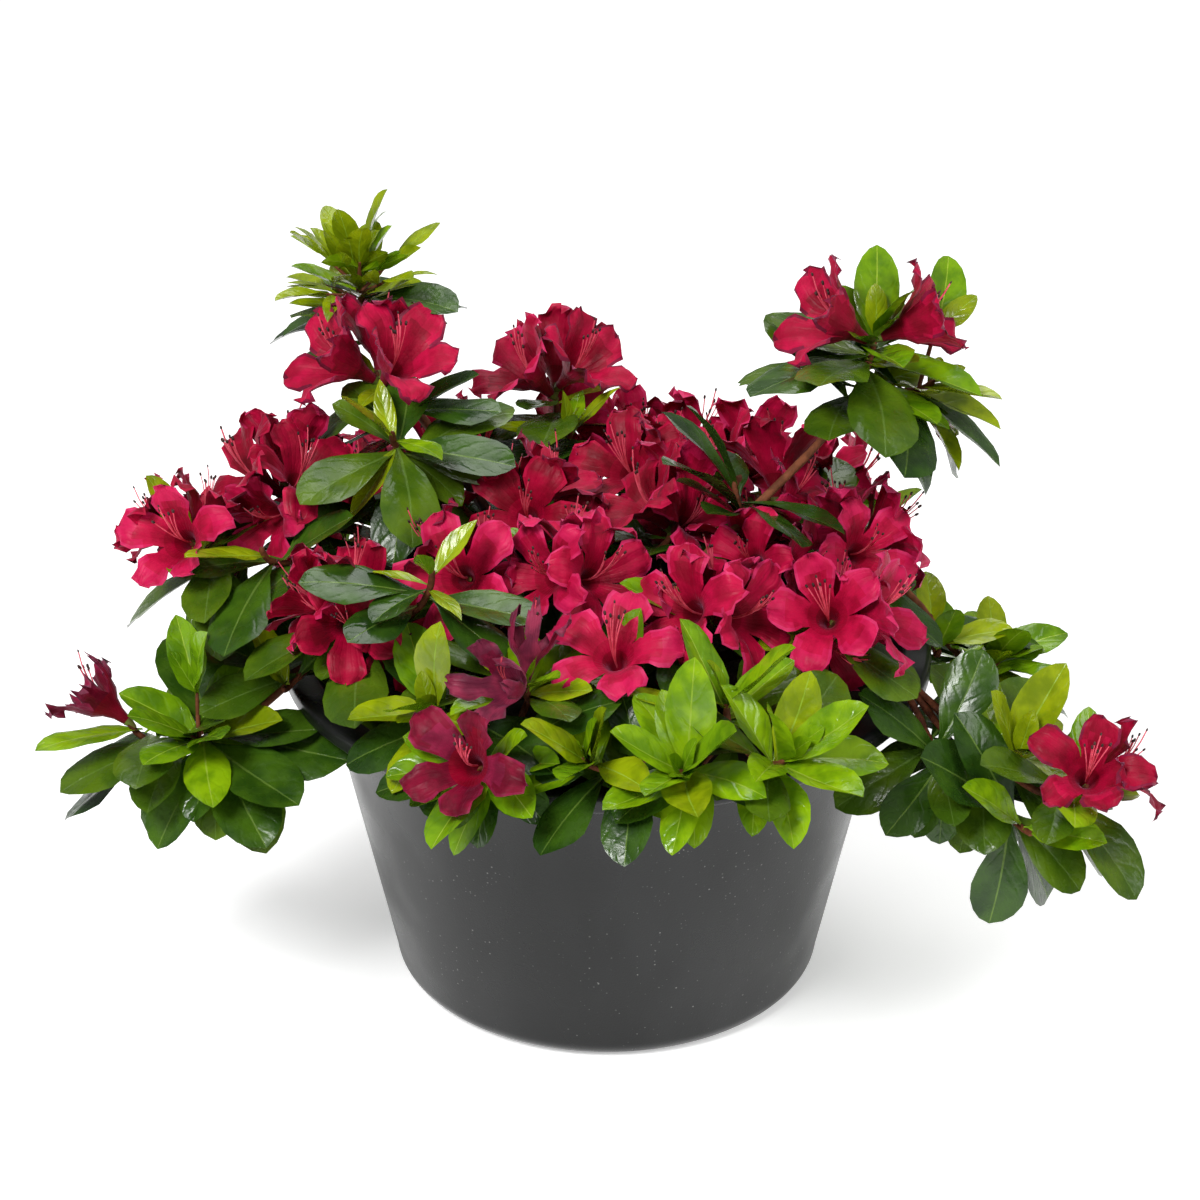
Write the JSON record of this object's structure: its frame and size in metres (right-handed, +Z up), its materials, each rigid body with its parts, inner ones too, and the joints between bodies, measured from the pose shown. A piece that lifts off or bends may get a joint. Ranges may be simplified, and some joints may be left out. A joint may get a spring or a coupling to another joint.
{
  "type": "potted azalea shrub",
  "caption": "Low, wide azalea shrub with crimson blossom and glossy leaves, in a round tapering plastic pot; it stands on the pot's flat underside.",
  "frame": {"origin": "middle of the pot's flat underside", "axes": "+Z up the pot's axis, +X to the right and +Y away as seen from the front, where the blossom is densest"},
  "size_m": [0.3964, 0.3164, 0.2843],
  "materials": {
    "pot_plastic": "dark grey moulded plastic, satin, lightly scuffed",
    "compost": "dark crumbly peat, matt",
    "bark": "thin reddish-brown bark, matt",
    "foliage": "glossy leaf, dark green with yellow-green young growth",
    "blossom": "soft crimson petal, with leaves between"
  },
  "bodies": {
    "root": {"bough_back_left": "bark", "bough_back_middle": "bark", "bough_back_right": "bark", "bough_crest_left": "bark", "bough_crest_right": "bark", "bough_dome_back": "bark", "bough_dome_left": "bark", "bough_dome_right": "bark", "bough_far_left": "bark", "bough_front_left": "bark", "bough_low_left": "bark", "bough_low_right": "bark", "bough_mid_left": "bark", "bough_rim_front": "bark", "bough_side_right": "bark", "bough_upper_back": "bark", "bough_upper_left": "bark", "compost": "compost", "foliage_back_left": "foliage", "foliage_back_middle": "foliage", "foliage_back_right": "foliage", "foliage_crest_left": "foliage", "foliage_crest_right": "foliage", "foliage_dome_back": "blossom", "foliage_dome_front": "blossom", "foliage_dome_left": "blossom", "foliage_dome_right": "blossom", "foliage_far_left": "blossom", "foliage_front_left": "foliage", "foliage_low_left": "foliage", "foliage_low_right": "foliage", "foliage_mid_left": "foliage", "foliage_rim_front": "foliage", "foliage_side_right": "foliage", "foliage_upper_back": "blossom", "foliage_upper_left": "foliage", "pot": "pot_plastic", "stem_foot": "bark"}
  },
  "joints": []
}
